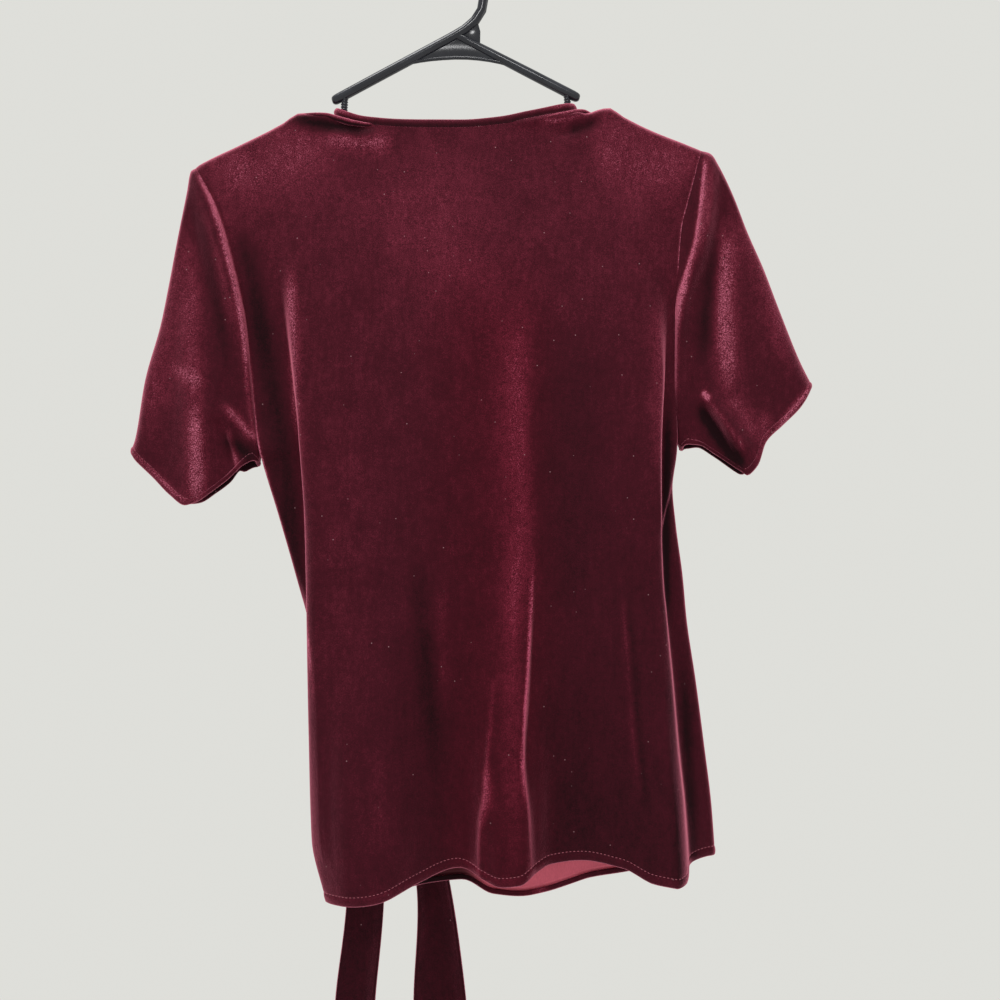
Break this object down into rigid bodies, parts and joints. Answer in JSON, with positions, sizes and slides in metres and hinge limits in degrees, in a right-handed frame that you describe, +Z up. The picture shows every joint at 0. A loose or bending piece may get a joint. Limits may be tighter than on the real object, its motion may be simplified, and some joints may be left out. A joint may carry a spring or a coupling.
{
  "type": "wrap top on a clothes hanger",
  "caption": "Short-sleeved velvet wrap top with crossed fronts tied at the waist, hanging flat on a tubular clothes hanger.",
  "frame": {"origin": "the highest point inside the hanger's hook, where the rail carries it", "axes": "+Z up along the hanging garment, +X towards the wearer's right, +Y out of the crossed fronts"},
  "size_m": [0.5524, 0.0856, 1.0122],
  "materials": {
    "velvet": "burgundy stretch velvet with a soft sheen",
    "plastic": "smooth black moulded plastic"
  },
  "bodies": {
    "root": {"back_panel": "velvet", "front_over": "velvet", "front_under": "velvet", "sleeve_left": "velvet", "sleeve_right": "velvet", "neckband": "velvet", "tie_over": "velvet", "tie_under": "velvet", "tie_knot": "velvet", "hanger": "plastic"}
  },
  "joints": []
}
